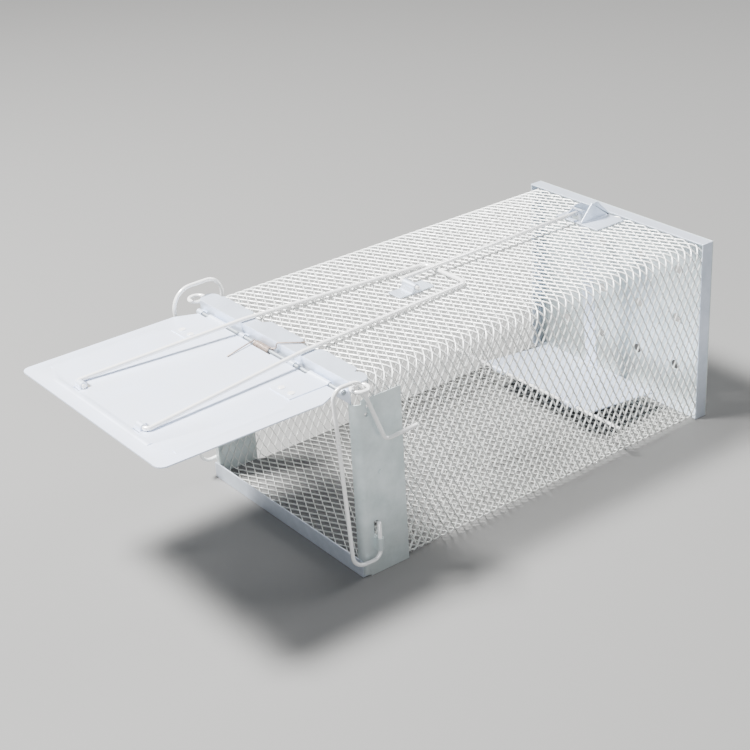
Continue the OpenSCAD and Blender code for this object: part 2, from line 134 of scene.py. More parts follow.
@dataclass
class ExpandedSheetTree:
    """The tree that lays a cage's strands: zigzag ribbons side by side, wrapped round the cage."""

    name: str = "expanded_sheet_strands"
    tree: bpy.types.GeometryNodeTree = field(init=False)

    INPUTS = (
        ("Step", "NodeSocketFloat"),
        ("Row", "NodeSocketFloat"),
        ("Bond", "NodeSocketFloat"),
        ("Ribbon Width", "NodeSocketFloat"),
        ("Ribbon Thickness", "NodeSocketFloat"),
        ("Ribbon Tilt", "NodeSocketFloat"),
        ("First Step", "NodeSocketInt"),
        ("Steps", "NodeSocketInt"),
        ("Front", "NodeSocketFloat"),
        ("Rows", "NodeSocketInt"),
        ("Roof Half", "NodeSocketFloat"),
        ("Roof Z", "NodeSocketFloat"),
        ("Roof Bend", "NodeSocketFloat"),
        ("Wall", "NodeSocketFloat"),
        ("Floor Bend", "NodeSocketFloat"),
        ("Material", "NodeSocketMaterial"),
    )

    def __post_init__(self) -> None:
        """Builds the tree."""
        tree = bpy.data.node_groups.new(self.name, "GeometryNodeTree")
        for name, kind in self.INPUTS:
            tree.interface.new_socket(name=name, in_out="INPUT", socket_type=kind)
        tree.interface.new_socket(name="Geometry", in_out="OUTPUT", socket_type="NodeSocketGeometry")
        self.tree = tree
        make = NodeMaker(tree)
        given = tree.nodes.new("NodeGroupInput").outputs
        strands = self.zigzags(make, given)
        ribbons = self.ribbons(make, given, strands)
        wrapped = self.wrapped(make, given, ribbons)
        real = make.add("GeometryNodeRealizeInstances", Geometry=wrapped)
        dressed = make.add("GeometryNodeSetMaterial", Geometry=real.outputs[0], Material=given["Material"])
        out = tree.nodes.new("NodeGroupOutput")
        tree.links.new(dressed.outputs[0], out.inputs[0])

    def zigzags(self, make: NodeMaker, given: bpy.types.NodeOutputs) -> bpy.types.NodeSocket:
        """Lays one zigzag curve a row on the flat sheet, x along the wrap and y along the cage.

        Args:
            make: adds the nodes.
            given: the tree's inputs.

        Returns:
            The curves.
        """
        count = make.math("MULTIPLY_ADD", given["Steps"], 3.0, 2.0)
        line = make.add("GeometryNodeCurvePrimitiveLine")
        even = make.add("GeometryNodeResampleCurve", Curve=line.outputs[0], Count=count)
        rows = make.add("GeometryNodeMeshLine", Count=given["Rows"])
        placed = make.add("GeometryNodeInstanceOnPoints", Points=rows.outputs[0], Instance=even.outputs[0])
        real = make.add("GeometryNodeRealizeInstances", Geometry=placed.outputs[0])
        index = make.add("GeometryNodeInputIndex").outputs[0]
        row = make.math("FLOOR", make.math("DIVIDE", index, count))
        place = make.math("SUBTRACT", index, make.math("MULTIPLY", row, count))
        step = make.math("FLOOR", make.math("DIVIDE", make.math("ADD", place, 0.25), 3.0))
        third = make.math("SUBTRACT", place, make.math("MULTIPLY", step, 3.0))
        middle = make.math("GREATER_THAN", third, 1.5)
        bond_end = make.math("MULTIPLY_ADD", third, 2.0, -1.0)
        bond_shift = make.math("MULTIPLY", bond_end, given["Bond"])
        mid_shift = make.math("MULTIPLY", given["Step"], 0.5)
        shift = make.math(
            "ADD",
            make.math("MULTIPLY", bond_shift, make.math("SUBTRACT", 1.0, middle)),
            make.math("MULTIPLY", mid_shift, middle),
        )
        absolute = make.math("ADD", step, given["First Step"])
        x = make.math("MULTIPLY_ADD", absolute, given["Step"], shift)
        parity = make.math("FLOORED_MODULO", make.math("ADD", absolute, row), 2.0)
        side = make.math("ADD", make.math("MULTIPLY", parity, make.math("SUBTRACT", 1.0, middle)),
                         make.math("MULTIPLY", middle, 0.5))
        across = make.math("ADD", row, side)
        y = make.math("MULTIPLY_ADD", across, given["Row"], given["Front"])
        spot = make.add("ShaderNodeCombineXYZ", X=x, Y=y)
        moved = make.add("GeometryNodeSetPosition", Geometry=real.outputs[0], Position=spot.outputs[0])
        return moved.outputs[0]

    def ribbons(
        self, make: NodeMaker, given: bpy.types.NodeOutputs, strands: bpy.types.NodeSocket
    ) -> bpy.types.NodeSocket:
        """Turns the curves into ribbons that lean to one side, as the slitting leaves them.

        Args:
            make: adds the nodes.
            given: the tree's inputs.
            strands: the zigzag curves.

        Returns:
            The ribbons' mesh.
        """
        upright = make.add("GeometryNodeSetCurveNormal", Curve=strands)
        upright.mode = "Z_UP"
        profile = make.add("GeometryNodeCurvePrimitiveQuadrilateral", Width=given["Ribbon Width"],
                           Height=given["Ribbon Thickness"])
        turn = make.add("ShaderNodeCombineXYZ", Z=given["Ribbon Tilt"])
        leaning = make.add("GeometryNodeTransform", Geometry=profile.outputs[0])
        make.feed(leaning.inputs["Rotation"], turn.outputs[0])
        solid = make.add("GeometryNodeCurveToMesh", Curve=upright.outputs[0], Fill_Caps=True)
        make.feed(solid.inputs["Profile Curve"], leaning.outputs[0])
        return solid.outputs[0]

    def wrapped(
        self, make: NodeMaker, given: bpy.types.NodeOutputs, flat: bpy.types.NodeSocket
    ) -> bpy.types.NodeSocket:
        """Wraps the flat sheet round the cage: roof, rounded bend, wall, rounded bend, floor.

        Args:
            make: adds the nodes.
            given: the tree's inputs.
            flat: the ribbons, with x the distance round the cage from the roof's middle.

        Returns:
            The wrapped mesh.
        """
        place = make.add("GeometryNodeInputPosition")
        apart = make.add("ShaderNodeSeparateXYZ", Vector=place.outputs[0])
        x, y, height = apart.outputs
        side = make.math("SIGN", x)
        run = make.math("ABSOLUTE", x)
        quarter = math.pi / 2
        roof_arc = make.math("MULTIPLY", given["Roof Bend"], quarter)
        floor_arc = make.math("MULTIPLY", given["Floor Bend"], quarter)
        after_roof = make.math("SUBTRACT", run, given["Roof Half"])
        in_roof_arc = make.between(after_roof, 0.0, roof_arc)
        after_arc = make.math("SUBTRACT", after_roof, roof_arc)
        down = make.between(after_arc, 0.0, given["Wall"])
        after_wall = make.math("SUBTRACT", after_arc, given["Wall"])
        in_floor_arc = make.between(after_wall, 0.0, floor_arc)
        inward = make.math("MAXIMUM", make.math("SUBTRACT", after_wall, floor_arc), 0.0)
        first = make.math("DIVIDE", in_roof_arc, given["Roof Bend"])
        second = make.math("DIVIDE", in_floor_arc, given["Floor Bend"])
        facing = make.math("ADD", first, second)
        out_x = make.math("MULTIPLY_ADD", make.math("SINE", first), given["Roof Bend"],
                          make.math("MINIMUM", run, given["Roof Half"]))
        tucked = make.math("SUBTRACT", 1.0, make.math("COSINE", second))
        tuck = make.math("MULTIPLY", tucked, given["Floor Bend"])
        mid_x = make.math("SUBTRACT", make.math("SUBTRACT", out_x, tuck), inward)
        fallen = make.math("SUBTRACT", 1.0, make.math("COSINE", first))
        fall = make.math("MULTIPLY", fallen, given["Roof Bend"])
        sink = make.math("MULTIPLY", make.math("SINE", second), given["Floor Bend"])
        drop = make.math("ADD", make.math("ADD", fall, down), sink)
        mid_z = make.math("SUBTRACT", given["Roof Z"], drop)
        outward = make.math("MULTIPLY_ADD", make.math("SINE", facing), height, mid_x)
        final_x = make.math("MULTIPLY", side, outward)
        final_z = make.math("MULTIPLY_ADD", make.math("COSINE", facing), height, mid_z)
        spot = make.add("ShaderNodeCombineXYZ", X=final_x, Y=y, Z=final_z)
        moved = make.add("GeometryNodeSetPosition", Geometry=flat, Position=spot.outputs[0])
        return moved.outputs[0]

    def grown(self, name: str, values: dict[str, object]) -> bpy.types.Mesh:
        """Runs the tree once.

        Args:
            name: the new mesh's name.
            values: the tree's inputs by name.

        Returns:
            The result as a plain mesh.
        """
        carrier = bpy.data.objects.new(name, bpy.data.meshes.new(name))
        bpy.context.scene.collection.objects.link(carrier)
        modifier = carrier.modifiers.new("strands", "NODES")
        modifier.node_group = self.tree
        for item in self.tree.interface.items_tree:
            if item.in_out == "INPUT" and item.name in values:
                modifier[item.identifier] = values[item.name]
        graph = bpy.context.evaluated_depsgraph_get()
        mesh = bpy.data.meshes.new_from_object(carrier.evaluated_get(graph))
        bpy.data.objects.remove(carrier)
        return mesh


# ---------------------------------------------------------------- finishes


class SurfaceGroups:
    """The shader node groups that several finishes share."""

    def __init__(self) -> None:
        """Builds each group once."""
        self.bloom = self.zinc_bloom()
        self.grain = self.rolled_grain()
        # painted shade that darkens the finishes near the ground
        self.ground_shade = self.painted_shade_near_ground()

    def group(
        self, name: str, inputs: Iterable[tuple[str, str]], outputs: Iterable[tuple[str, str]]
    ) -> tuple:
        """Starts a group.

        Args:
            name: the group's name.
            inputs: names and socket kinds.
            outputs: names and socket kinds.

        Returns:
            The tree, a node maker, the input sockets and the output node.
        """
        tree = bpy.data.node_groups.new(name, "ShaderNodeTree")
        for label, kind in inputs:
            tree.interface.new_socket(name=label, in_out="INPUT", socket_type=kind)
        for label, kind in outputs:
            tree.interface.new_socket(name=label, in_out="OUTPUT", socket_type=kind)
        given = tree.nodes.new("NodeGroupInput").outputs
        return tree, NodeMaker(tree), given, tree.nodes.new("NodeGroupOutput")

    def coordinates(self, make: NodeMaker) -> bpy.types.NodeSocket:
        """The piece's own coordinates."""
        return make.add("ShaderNodeTexCoord").outputs["Object"]

    def zinc_bloom(self) -> bpy.types.ShaderNodeTree:
        """Soft cloudy patches, as zinc plating dulls unevenly."""
        tree, make, given, out = self.group(
            "zinc_bloom",
            [("Colour", "NodeSocketColor"), ("Dull Colour", "NodeSocketColor"),
             ("Patch Scale", "NodeSocketFloat"), ("Roughness", "NodeSocketFloat"),
             ("Spread", "NodeSocketFloat")],
            [("Colour", "NodeSocketColor"), ("Roughness", "NodeSocketFloat")],
        )
        noise = make.add("ShaderNodeTexNoise", Vector=self.coordinates(make), Scale=given["Patch Scale"],
                         Detail=5.0, Roughness=0.62)
        patch = make.add("ShaderNodeMapRange", Value=noise.outputs[0], From_Min=0.36, From_Max=0.66)
        mix = tree.nodes.new("ShaderNodeMix")
        mix.data_type = "RGBA"
        make.feed(mix.inputs[0], patch.outputs[0])
        make.feed(mix.inputs[6], given["Colour"])
        make.feed(mix.inputs[7], given["Dull Colour"])
        rough = make.math("MULTIPLY_ADD", patch.outputs[0], given["Spread"], given["Roughness"])
        tree.links.new(mix.outputs[2], out.inputs[0])
        tree.links.new(rough, out.inputs[1])
        return tree

    def rolled_grain(self) -> bpy.types.ShaderNodeTree:
        """Fine streaks along one direction and shallow dents, as a height."""
        tree, make, given, out = self.group(
            "rolled_grain",
            [("Stretch", "NodeSocketVector"), ("Grain", "NodeSocketFloat"), ("Dents", "NodeSocketFloat")],
            [("Height", "NodeSocketFloat"), ("Streaks", "NodeSocketFloat")],
        )
        own = self.coordinates(make)
        mapping = make.add("ShaderNodeMapping", Vector=own, Scale=given["Stretch"])
        streaks = make.add("ShaderNodeTexNoise", Vector=mapping.outputs[0], Scale=1.0, Detail=3.0)
        dents = make.add("ShaderNodeTexNoise", Vector=own, Scale=38.0, Detail=1.0)
        fine = make.math("MULTIPLY", streaks.outputs[0], given["Grain"])
        height = make.math("MULTIPLY_ADD", dents.outputs[0], given["Dents"], fine)
        tree.links.new(height, out.inputs[0])
        tree.links.new(streaks.outputs[0], out.inputs[1])
        return tree

    def painted_shade_near_ground(self) -> bpy.types.ShaderNodeTree:
        """Painted shade: a patchy darker tint that fades out with height above the ground."""
        tree, make, given, out = self.group(
            "painted_shade_near_ground",
            [("Colour", "NodeSocketColor"), ("Reach", "NodeSocketFloat"), ("Amount", "NodeSocketFloat")],
            [("Colour", "NodeSocketColor")],
        )
        own = self.coordinates(make)
        apart = make.add("ShaderNodeSeparateXYZ", Vector=own)
        near = make.add("ShaderNodeMapRange", Value=apart.outputs[2], From_Min=0.0, From_Max=given["Reach"],
                        To_Min=1.0, To_Max=0.0)
        noise = make.add("ShaderNodeTexNoise", Vector=own, Scale=60.0, Detail=4.0)
        patchy = make.math("MULTIPLY", near.outputs[0], noise.outputs[0])
        mask = make.math("MULTIPLY", patchy, given["Amount"])
        mix = tree.nodes.new("ShaderNodeMix")
        mix.data_type = "RGBA"
        make.feed(mix.inputs[0], mask)
        make.feed(mix.inputs[6], given["Colour"])
        # the painted shade's dark brownish grey
        make.feed(mix.inputs[7], (0.36, 0.35, 0.30, 1.0))
        tree.links.new(mix.outputs[2], out.inputs[0])
        return tree


@dataclass(frozen=True)
class MetalFinish:
    """A metal finish: its colours, its shine and the marks on it."""

    name: str
    colour: tuple[float, float, float]
    dull_colour: tuple[float, float, float]
    metallic: float
    roughness: float
    roughness_spread: float
    patch_scale: float = 45.0
    stretch: tuple[float, float, float] = (900.0, 40.0, 900.0)
    grain: float = 0.25
    dents: float = 0.6
    relief: float = 0.00012
    # how strongly painted shade darkens the colour near the ground, and how high it reaches
    ground_shade: float = 0.5
    ground_shade_reach: float = 0.05

    def material(self, groups: SurfaceGroups) -> bpy.types.Material:
        """Builds the material.

        Args:
            groups: the shared node groups.

        Returns:
            The new material.
        """
        made = bpy.data.materials.new(self.name)
        made.use_nodes = True
        tree = made.node_tree
        make = NodeMaker(tree)
        shader = tree.nodes["Principled BSDF"]
        shader.inputs["Metallic"].default_value = self.metallic
        bloom = self.placed(tree, groups.bloom)
        bloom.inputs["Colour"].default_value = (*self.colour, 1.0)
        bloom.inputs["Dull Colour"].default_value = (*self.dull_colour, 1.0)
        bloom.inputs["Patch Scale"].default_value = self.patch_scale
        bloom.inputs["Roughness"].default_value = self.roughness
        bloom.inputs["Spread"].default_value = self.roughness_spread
        # darkens the colour near the ground: painted shade
        ground_shade = self.placed(tree, groups.ground_shade)
        make.feed(ground_shade.inputs["Colour"], bloom.outputs["Colour"])
        ground_shade.inputs["Reach"].default_value = self.ground_shade_reach
        ground_shade.inputs["Amount"].default_value = self.ground_shade
        make.feed(shader.inputs["Base Color"], ground_shade.outputs[0])
        make.feed(shader.inputs["Roughness"], bloom.outputs["Roughness"])
        grain = self.placed(tree, groups.grain)
        grain.inputs["Stretch"].default_value = self.stretch
        grain.inputs["Grain"].default_value = self.grain
        grain.inputs["Dents"].default_value = self.dents
        bump = make.add("ShaderNodeBump", Height=grain.outputs["Height"], Distance=self.relief)
        make.feed(shader.inputs["Normal"], bump.outputs[0])
        return made

    def placed(self, tree: bpy.types.NodeTree, group: bpy.types.ShaderNodeTree) -> bpy.types.Node:
        """Places a shared group in the material."""
        node = tree.nodes.new("ShaderNodeGroup")
        node.node_tree = group
        return node


# ground_shade is painted shade that darkens a finish near the ground
DOOR_ZINC = MetalFinish("door_zinc", (0.78, 0.84, 0.97), (0.70, 0.77, 0.93), 0.4, 0.32, 0.12, ground_shade=0.0)
FRAME_ZINC = MetalFinish("frame_zinc", (0.72, 0.78, 0.90), (0.60, 0.67, 0.78), 0.6, 0.34, 0.16,
                         patch_scale=60.0)
PLATE_ZINC = MetalFinish("plate_zinc", (0.70, 0.77, 0.79), (0.56, 0.64, 0.65), 0.6, 0.36, 0.18,
                         stretch=(900.0, 900.0, 30.0), patch_scale=70.0)
STRAND_ZINC = MetalFinish("strand_zinc", (0.86, 0.87, 0.86), (0.70, 0.72, 0.71), 0.35, 0.36, 0.2,
                          patch_scale=150.0, stretch=(700.0, 700.0, 700.0), grain=0.4, dents=0.0, ground_shade=0.6)
PAN_ZINC = MetalFinish("pan_zinc", (0.70, 0.77, 0.92), (0.62, 0.69, 0.84), 0.4, 0.38, 0.12, ground_shade=0.0)
WIRE_ZINC = MetalFinish("wire_zinc", (0.92, 0.92, 0.92), (0.87, 0.87, 0.87), 0.25, 0.22, 0.06,
                        patch_scale=60.0, stretch=(60.0, 60.0, 60.0), grain=0.1, dents=0.1, ground_shade=0.0)
# darkened to stand for the dark shade line between the door and the rail: painted shade
SHADED_PIN_ZINC = MetalFinish("pin_zinc_painted_shade", (0.42, 0.46, 0.50), (0.30, 0.33, 0.36), 0.7, 0.4, 0.14,
                       patch_scale=160.0, ground_shade=0.0)
SPRING_BROWN = MetalFinish("spring_brown", (0.44, 0.36, 0.31), (0.26, 0.20, 0.17), 0.6, 0.4, 0.2,
                           patch_scale=400.0, dents=0.0, ground_shade=0.0)


class Workshop:
    """Makes the pieces' objects and hands each to its body."""

    def __init__(self) -> None:
        """Builds every finish once."""
        groups = SurfaceGroups()
        finishes = (DOOR_ZINC, FRAME_ZINC, PLATE_ZINC, STRAND_ZINC, PAN_ZINC, WIRE_ZINC, SHADED_PIN_ZINC,
                    SPRING_BROWN)
        self.materials = {finish.name: finish.material(groups) for finish in finishes}

    def material(self, finish: MetalFinish) -> bpy.types.Material:
        """The material made from a finish."""
        return self.materials[finish.name]

    def piece(self, name: str, mesh: bpy.types.Mesh, finish: MetalFinish) -> bpy.types.Object:
        """Makes an object with one finish.

        Args:
            name: the piece's name.
            mesh: its mesh, in place.
            finish: its finish.

        Returns:
            The new object.
        """
        mesh.materials.clear()
        mesh.materials.append(self.material(finish))
        made = bpy.data.objects.new(name, mesh)
        bpy.context.scene.collection.objects.link(made)
        return made

    def hand_over(
        self, piece: bpy.types.Object, body: Body, stands_for: Iterable[str] = ()
    ) -> None:
        """Gives a finished piece its body and the nodes that it stands for.

        Args:
            piece: the piece.
            body: the body that it moves with.
            stands_for: the CAD nodes that it replaces.
        """
        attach(piece, body.value)
        nodes = list(stands_for)
        if nodes:
            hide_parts(*nodes)
        LOG.info("%s: %d faces on %s", piece.name, len(piece.data.polygons), body.value)

    def dressed_node(self, node: str, finish: MetalFinish) -> None:
        """Gives a CAD node that is shown as it is its finish.

        Args:
            node: the node's name.
            finish: its finish.
        """
        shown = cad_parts[node]
        shown.data.materials.clear()
        shown.data.materials.append(self.material(finish))
        LOG.info("%s: dressed as %s", node, finish.name)


# ---------------------------------------------------------------- pieces


@dataclass
class PressedPiece:
    """A sheet piece: the CAD node's own shape with its cut edges worn round."""

    node: str
    body: Body
    finish: MetalFinish
    slot: Slot = Slot.SHEET
    edge: float = 0.16
    crease: float = 35.0

    def build(self, shop: Workshop) -> bpy.types.Object:
        """Copies the node's mesh, merges it and rounds its edges.

        Args:
            shop: makes the object.

        Returns:
            The piece.
        """
        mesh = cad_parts[self.node].data.copy()
        mesh.name = self.node + "_sheet"
        shell = bmesh.new()
        shell.from_mesh(mesh)
        bmesh.ops.remove_doubles(shell, verts=shell.verts, dist=2e-6)
        bmesh.ops.dissolve_limit(shell, angle_limit=math.radians(0.6), verts=shell.verts, edges=shell.edges)
        shell.to_mesh(mesh)
        shell.free()
        for name in [layer.name for layer in mesh.attributes if layer.name == "custom_normal"]:
            mesh.attributes.remove(mesh.attributes[name])
        piece = shop.piece(self.node + "_worn", mesh, self.finish)
        mesh.shade_smooth()
        bevel = piece.modifiers.new("worn_edges", "BEVEL")
        bevel.width = self.edge * MM
        bevel.segments = 2
        bevel.limit_method = "ANGLE"
        bevel.angle_limit = math.radians(self.crease)
        bevel.use_clamp_overlap = True
        bevel.harden_normals = True
        shop.hand_over(piece, self.body, [self.node])
        return piece


@dataclass
class Wire:
    """A round wire bent through points, in millimetres.

    The dome at each end rises and narrows by a share of the wire's radius.
    """

    name: str
    diameter: float
    points: list[Point]
    bends: list[float]
    sides: int = 16
    dome_rise: float = 0.12
    dome_width: float = 0.8

    def centreline(self) -> list[Vector]:
        """The points that the wire's middle follows, with each corner rounded."""
        given = [Vector(p) for p in self.points]
        out = [given[0]]
        for i, radius in enumerate(self.bends, start=1):
            out += self.corner(given[i], given[i] - given[i - 1], given[i + 1] - given[i], radius)
        out.append(given[-1])
        return out

    def corner(self, at: Vector, before: Vector, after: Vector, radius: float) -> list[Vector]:
        """Points along a rounded corner.

        Args:
            at: the sharp corner.
            before: the direction into it.
            after: the direction out of it.
            radius: the bend's radius.

        Returns:
            The points from the bend's start to its end.
        """
        u, w = before.normalized(), after.normalized()
        turn = u.angle(w)
        if radius == 0 or turn < 0.01:
            return [at]
        inward = (w - u * u.dot(w)).normalized()
        centre = at - u * radius * math.tan(turn / 2) + inward * radius
        steps = max(2, math.ceil(turn / math.radians(9)))
        return [
            centre - inward * radius * math.cos(turn * k / steps) + u * radius * math.sin(turn * k / steps)
            for k in range(steps + 1)
        ]

    def mesh(self) -> bpy.types.Mesh:
        """Sweeps a circle along the centreline and closes its ends with a slight dome."""
        path = self.centreline()
        radius = self.diameter / 2
        shell = bmesh.new()
        rings = []
        across = None
        count = len(path)
        for i, point in enumerate(path):
            ahead = path[min(i + 1, count - 1)] - path[max(i - 1, 0)]
            along = ahead.normalized()
            if across is None:
                across = along.orthogonal().normalized()
            across = (across - along * across.dot(along)).normalized()
            other = along.cross(across)
            rings.append(self.ring(shell, point, across, other, radius))
            if i in (0, count - 1):
                away = -along if i == 0 else along
                domed = point + away * radius * self.dome_rise
                inset = self.ring(shell, domed, across, other, radius * self.dome_width)
                if i == 0:
                    rings.insert(0, inset)
                else:
                    rings.append(inset)
        for first, second in zip(rings, rings[1:]):
            for k in range(self.sides):
                n = (k + 1) % self.sides
                shell.faces.new((first[k], first[n], second[n], second[k]))
        shell.faces.new(list(reversed(rings[0])))
        shell.faces.new(rings[-1])
        bmesh.ops.recalc_face_normals(shell, faces=shell.faces)
        mesh = bpy.data.meshes.new(self.name)
        shell.to_mesh(mesh)
        shell.free()
        mesh.transform(Matrix.Diagonal((MM, MM, MM, 1.0)))
        mesh.shade_smooth()
        return mesh

    def ring(self, shell: bmesh.types.BMesh, at: Vector, a: Vector, b: Vector, radius: float) -> list:
        """Adds a circle of vertices.

        Args:
            shell: the mesh they go into.
            at: the circle's centre.
            a: a direction across the wire.
            b: the other direction across the wire.
            radius: the circle's radius.

        Returns:
            The vertices in order.
        """
        turn = 2 * math.pi / self.sides
        return [
            shell.verts.new(at + (a * math.cos(k * turn) + b * math.sin(k * turn)) * radius)
            for k in range(self.sides)
        ]


@dataclass
class ExpandedCage:
    """The cage's expanded sheet, wrapped in one from the floor's seam over the roof and back.

    The window is the roof's hole, as its left, right, front and rear. Only strands over window_floor are cut,
    and only those within window_reach of the hole are split along its sides.
    """

    thickness: float = 1.6
    roof_bend_outer: float = 9.0
    floor_bend_outer: float = 4.0
    row: float = 2.7
    wanted_step: float = 5.4
    bond: float = 0.25
    ribbon_width: float = 0.95
    ribbon_thickness: float = 0.34
    ribbon_tilt: float = math.radians(72)
    seam_half: float = 0.3
    window: tuple[float, float, float, float] = (-14.3, -0.7, 103.5, 121.9)
    window_floor: float = 114.0
    window_reach: tuple[float, float] = (6.0, 4.0)

    def build(self, shop: Workshop) -> None:
        """Grows the sheet in four pieces and hands them over.

        Args:
            shop: makes the objects.
        """
        roof_low, roof_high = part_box("mesh_top")
        wall_low, wall_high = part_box("mesh_right")
        floor_low, floor_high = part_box("mesh_floor")
        half = self.thickness / 2 * MM
        roof_bend = self.roof_bend_outer * MM - half
        floor_bend = self.floor_bend_outer * MM - half
        roof_half = wall_high.x - self.roof_bend_outer * MM
        roof_z = roof_high.z - half
        wall = roof_z - roof_bend - (floor_low.z + half) - floor_bend
        quarter = math.pi / 2
        around = roof_half + roof_bend * quarter + wall + floor_bend * quarter
        around += wall_high.x - half - floor_bend - self.seam_half * MM
        steps = round(around / (self.wanted_step * MM))
        step = around / steps
        roof_steps = math.ceil((roof_half + roof_bend * quarter) / step)
        wall_end = around - floor_high.x + self.floor_bend_outer * MM
        wall_steps = math.ceil((wall_end - roof_steps * step) / step)
        floor_steps = steps - roof_steps - wall_steps
        shared = {
            "Step": step,
            "Row": self.row * MM,
            "Bond": self.bond * MM,
            "Ribbon Width": self.ribbon_width * MM,
            "Ribbon Thickness": self.ribbon_thickness * MM,
            "Ribbon Tilt": self.ribbon_tilt,
            "Front": wall_low.y + half,
            "Roof Half": roof_half,
            "Roof Z": roof_z,
            "Roof Bend": roof_bend,
            "Wall": wall,
            "Floor Bend": floor_bend,
            "Material": shop.material(STRAND_ZINC),
        }
        tree = ExpandedSheetTree()
        wall_rows = int((wall_high.y - wall_low.y - 2 * half) / (self.row * MM))
        floor_rows = int((floor_high.y - floor_low.y - 2 * half) / (self.row * MM))

        def grow(name: str, first: int, count: int, rows: int) -> bpy.types.Mesh:
            """Grows one stretch of the sheet."""
            return tree.grown(name, {**shared, "First Step": first, "Steps": count, "Rows": rows})

        roof = grow("roof_strands", -roof_steps, 2 * roof_steps, wall_rows)
        self.cut_window(roof)
        piece = shop.piece("roof_strands", roof, STRAND_ZINC)
        shop.hand_over(piece, Body.CAGE, ["mesh_top", "mesh_bend_left", "mesh_bend_right"])
        right_wall = grow("right", roof_steps, wall_steps, wall_rows)
        right = shop.piece("right_wall_strands", right_wall, STRAND_ZINC)
        shop.hand_over(right, Body.CAGE, ["mesh_right"])
        left_first = -roof_steps - wall_steps
        left = shop.piece("left_wall_strands", grow("left", left_first, wall_steps, wall_rows), STRAND_ZINC)
        shop.hand_over(left, Body.CAGE, ["mesh_left"])
        halves = [
            grow("floor_right", roof_steps + wall_steps, floor_steps, floor_rows),
            grow("floor_left", -steps, floor_steps, floor_rows),
        ]
        floor = shop.piece("floor_strands", joined("floor_strands", halves), STRAND_ZINC)
        shop.hand_over(floor, Body.CAGE, ["mesh_floor"])

    def cut_window(self, mesh: bpy.types.Mesh) -> None:
        """Clears the strands out of the window that the treadle's arm comes through.

        Args:
            mesh: the roof's strands.
        """
        left, right, front, rear = (v * MM for v in self.window)
        lowest = self.window_floor * MM
        near_side, near_end = self.window_reach[0] * MM, self.window_reach[1] * MM
        shell = bmesh.new()
        shell.from_mesh(mesh)
        for side in (left, right):
            near = []
            for face in shell.faces:
                middle = face.calc_center_median()
                beside = abs(middle.x - side) < near_side and middle.z > lowest
                if beside and front - near_end < middle.y < rear + near_end:
                    near.append(face)
            near_edges = {edge for face in near for edge in face.edges}
            near_verts = {vert for face in near for vert in face.verts}
            geometry = near + list(near_edges) + list(near_verts)
            bmesh.ops.bisect_plane(
                shell, geom=geometry, plane_co=Vector((side, 0, 0)), plane_no=Vector((1, 0, 0))
            )
        gone = []
        for face in shell.faces:
            middle = face.calc_center_median()
            if left < middle.x < right and front < middle.y < rear and middle.z > lowest:
                gone.append(face)
        bmesh.ops.delete(shell, geom=gone, context="FACES")
        edges = [e for e in shell.edges if e.is_boundary]
        bmesh.ops.holes_fill(shell, edges=edges, sides=12)
        shell.to_mesh(mesh)
        shell.free()


def joined(name: str, meshes: Iterable[bpy.types.Mesh]) -> bpy.types.Mesh:
    """Puts several meshes into one.

    Args:
        name: the new mesh's name.
        meshes: the meshes, which are used up.

    Returns:
        The new mesh.
    """
    shell = bmesh.new()
    for mesh in meshes:
        shell.from_mesh(mesh)
        bpy.data.meshes.remove(mesh)
    whole = bpy.data.meshes.new(name)
    shell.to_mesh(whole)
    shell.free()
    return whole


@dataclass
class FrontFrame:
    """The rail, the side plates, the sill and their fixings around the mouth."""

    plates: tuple[str, ...] = ("side_plate_left", "side_plate_right")

    def build(self, shop: Workshop) -> None:
        """Builds the frame's sheet pieces.

        Args:
            shop: makes the objects.
        """
        PressedPiece("top_rail", Body.CAGE, FRAME_ZINC).build(shop)
        for node in self.plates:
            PressedPiece(node, Body.CAGE, PLATE_ZINC).build(shop)
        PressedPiece("front_sill", Body.CAGE, FRAME_ZINC).build(shop)
        PressedPiece("frame_clinches", Body.CAGE, PLATE_ZINC).build(shop)
        shop.dressed_node("rail_wire", WIRE_ZINC)
        # the pin's dark finish is painted shade for the gap behind the door
        shop.dressed_node("hinge_pin", SHADED_PIN_ZINC)


@dataclass
class RearEnd:
    """The rear wall and the band around it."""

    def build(self, shop: Workshop) -> None:
        """Builds both pieces.

        Args:
            shop: makes the objects.
        """
        PressedPiece("rear_wall", Body.CAGE, PLATE_ZINC).build(shop)
        PressedPiece("rear_band", Body.CAGE, FRAME_ZINC).build(shop)


@dataclass
class Door:
    """The door's sheet, its hinge leaves and their rivets."""

    def build(self, shop: Workshop) -> None:
        """Builds the door's pieces.

        Args:
            shop: makes the objects.
        """
        PressedPiece("door_plate", Body.DOOR, DOOR_ZINC, edge=0.2).build(shop)
        for node in ("hinge_leaf_left", "hinge_leaf_right"):
            PressedPiece(node, Body.DOOR, DOOR_ZINC).build(shop)
        PressedPiece("leaf_rivets", Body.DOOR, WIRE_ZINC, Slot.WIRE).build(shop)


